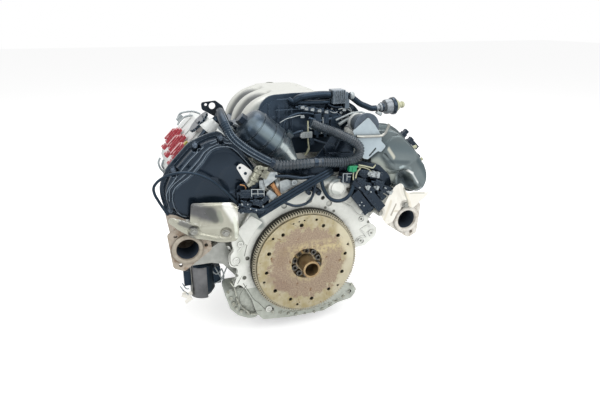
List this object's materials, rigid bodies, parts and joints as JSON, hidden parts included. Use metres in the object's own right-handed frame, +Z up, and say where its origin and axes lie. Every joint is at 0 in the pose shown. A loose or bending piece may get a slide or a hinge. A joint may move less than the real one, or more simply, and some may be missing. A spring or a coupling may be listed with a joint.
{
  "type": "car engine",
  "caption": "Six-cylinder vee petrol engine for a car, gearbox end bare, with a drive plate that turns, a belt drive, intake, heads, exhaust outlets and oil pan.",
  "frame": {"origin": "on the crankshaft axis, in the plane of the rear face of the drive plate", "axes": "+X to the right seen from the gearbox end, +Y along the crankshaft to the belt end, +Z up along the cylinders of the vee"},
  "size_m": [0.7189, 0.515, 0.6229],
  "materials": {
    "block_metal": "cast, satin",
    "pan_metal": "cast, satin",
    "sheet_black": "satin",
    "seal_metal": "satin",
    "cam_cover": "satin",
    "cover_black": "gloss",
    "cover_grey": "gloss",
    "exhaust_iron": "rusted",
    "shield_sheet": "dimpled sheet",
    "intake_grey": "satin",
    "plastic_black": "gloss",
    "coil_red": "gloss",
    "steel": "machined",
    "brass_plate": "satin",
    "plate_steel": "tarnished",
    "gear_steel": "satin",
    "bolt_dark": "oiled",
    "sleeve_bronze": "tarnished",
    "pulley_black": "satin",
    "arm_metal": "cast",
    "rubber": "matte",
    "harness": "matte",
    "valve_grey": "satin",
    "bracket_zinc": "satin",
    "bracket_white": "satin",
    "shield_dark": "brushed",
    "pump_dark": "satin",
    "dipstick_orange": "gloss"
  },
  "bodies": {
    "engine": {"cylinder_block": "block_metal", "upper_oil_pan": "pan_metal", "lower_oil_pan": "sheet_black", "rear_seal_flange": "seal_metal", "cylinder_head_left": "block_metal", "cylinder_head_right": "block_metal", "cam_cover_left": "cam_cover", "cam_cover_right": "cam_cover", "chain_cover_left": "cover_black", "chain_cover_right": "cover_grey", "exhaust_manifold_left": "exhaust_iron", "exhaust_manifold_right": "exhaust_iron", "heat_shield_left": "shield_sheet", "heat_shield_right": "shield_sheet", "intake_manifold_upper": "intake_grey", "intake_manifold_lower": "plastic_black", "throttle_body": "seal_metal", "oil_filter_housing": "plastic_black", "oil_filter_cap": "plastic_black", "ignition_coils_left": "coil_red", "ignition_coils_right": "coil_red", "front_cover": "block_metal", "water_pump": "block_metal", "drive_belt": "rubber", "thermostat_housing": "block_metal", "mount_bracket": "seal_metal", "engine_mount": "rubber", "mount_shield": "shield_dark", "breather_hose": "rubber", "harness_conduit": "harness", "cable_bundle": "harness", "loop_cable": "harness", "lambda_cable": "harness", "coolant_hose": "rubber", "vapour_hoses": "rubber", "camshaft_sensors": "plastic_black", "harness_bracket": "bracket_white", "check_valve": "valve_grey", "purge_solenoid": "plastic_black", "bracket_plate": "bracket_zinc", "support_rod": "steel", "vacuum_pump": "pump_dark", "lifting_eye": "sheet_black", "rear_coolant_housing": "block_metal", "harness_connectors": "plastic_black", "control_unit": "plastic_black", "flange_bolts": "steel", "dipstick_tube": "steel"},
    "crank": {"crankshaft": "steel", "drive_plate": "plate_steel", "ring_gear": "gear_steel", "crank_bolts": "bolt_dark", "pilot_sleeve": "sleeve_bronze", "crank_pulley": "pulley_black"},
    "pump_rotor": {"pump_pulley": "pulley_black"},
    "tensioner": {"tensioner_arm": "arm_metal"},
    "tensioner_wheel": {"tensioner_pulley": "pulley_black"},
    "throttle": {"throttle_plate": "brass_plate"},
    "filler_cap": {"oil_filler_cap": "plastic_black"},
    "dipstick": {"dipstick": "dipstick_orange"}
  },
  "joints": [
    {"name": "crank_spin", "type": "hinge", "parent": "engine", "child": "crank", "pos_m": [0, 0, 0], "axis": [0, 1, 0], "continuous": true},
    {"name": "pump_spin", "type": "hinge", "parent": "engine", "child": "pump_rotor", "pos_m": [0.018, 0, 0.15], "axis": [0, 1, 0], "continuous": true},
    {"name": "tensioner_swing", "type": "hinge", "parent": "engine", "child": "tensioner", "pos_m": [-0.116, 0, 0.014], "axis": [0, 1, 0], "range_deg": [0, 10], "stiffness_Nm_per_rad": 60, "springref_deg": -17.19},
    {"name": "tensioner_wheel_spin", "type": "hinge", "parent": "tensioner", "child": "tensioner_wheel", "pos_m": [-0.118, 0, 0.066], "axis": [0, 1, 0], "continuous": true},
    {"name": "throttle_turn", "type": "hinge", "parent": "engine", "child": "throttle", "pos_m": [0.034, 0.425, 0.36], "axis": [1, 0, 0], "range_deg": [0, 85], "stiffness_Nm_per_rad": 0.2, "springref_deg": -17.19},
    {"name": "filler_cap_turn", "type": "hinge", "parent": "engine", "child": "filler_cap", "pos_m": [-0.21355, 0.19, 0.33234], "axis": [-0.7071, 0, 0.7071], "range_deg": [0, 90]},
    {"name": "dipstick_pull", "type": "slide", "parent": "engine", "child": "dipstick", "axis": [0, 0, 1], "range_m": [0, 0.3]}
  ],
  "couplings": [
    {"joint": "pump_spin", "follows": "crank_spin", "ratio": 1.3846},
    {"joint": "tensioner_wheel_spin", "follows": "crank_spin", "ratio": 2.1176}
  ]
}
